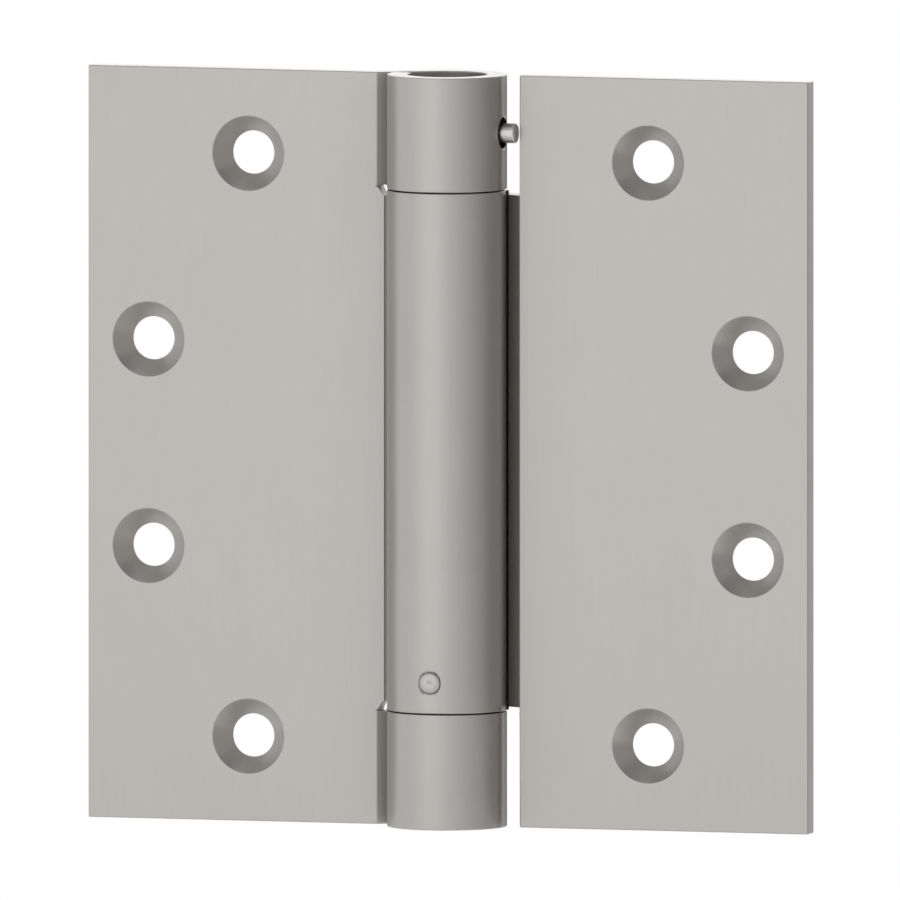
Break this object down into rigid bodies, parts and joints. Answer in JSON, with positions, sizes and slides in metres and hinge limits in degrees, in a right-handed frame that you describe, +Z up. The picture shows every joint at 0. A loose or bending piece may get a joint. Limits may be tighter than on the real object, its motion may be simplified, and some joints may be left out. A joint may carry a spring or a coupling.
{
  "type": "spring hinge",
  "caption": "Square-cornered butt hinge whose rolled barrel holds a torsion spring that closes the door, wound by a plug and held by a pin.",
  "frame": {"origin": "on the barrel's axis at mid height, which is also the centre of the bounding box", "axes": "+Z up along the barrel's axis, +X from the frame leaf to the door leaf across the open hinge, +Y from the countersunk side towards the back, so a viewer who sees the screw heads looks along +Y"},
  "size_m": [0.1142, 0.0182, 0.1142],
  "materials": {
    "satin_chrome": "satin chrome plate on formed steel, fine upright grain",
    "plug_steel": "turned steel, zinc plated",
    "pin_steel": "bright drawn steel",
    "bush_nylon": "natural nylon",
    "spring_wire": "oil-tempered spring wire"
  },
  "bodies": {
    "frame_side": {"frame_leaf": "satin_chrome", "tension_plug": "plug_steel", "tension_pin": "pin_steel", "lower_bush": "bush_nylon", "bottom_cap": "satin_chrome"},
    "door_side": {"door_leaf": "satin_chrome", "upper_bush": "bush_nylon", "anchor_plug": "plug_steel", "anchor_pin": "pin_steel", "torsion_spring": "spring_wire"}
  },
  "joints": [
    {"name": "leaf_swing", "type": "hinge", "parent": "frame_side", "child": "door_side", "pos_m": [0, 0, 0], "axis": [0, 0, -1], "range_deg": [0, 180], "stiffness_Nm_per_rad": 0.6, "springref_deg": 180, "deforming": ["torsion_spring"]}
  ]
}
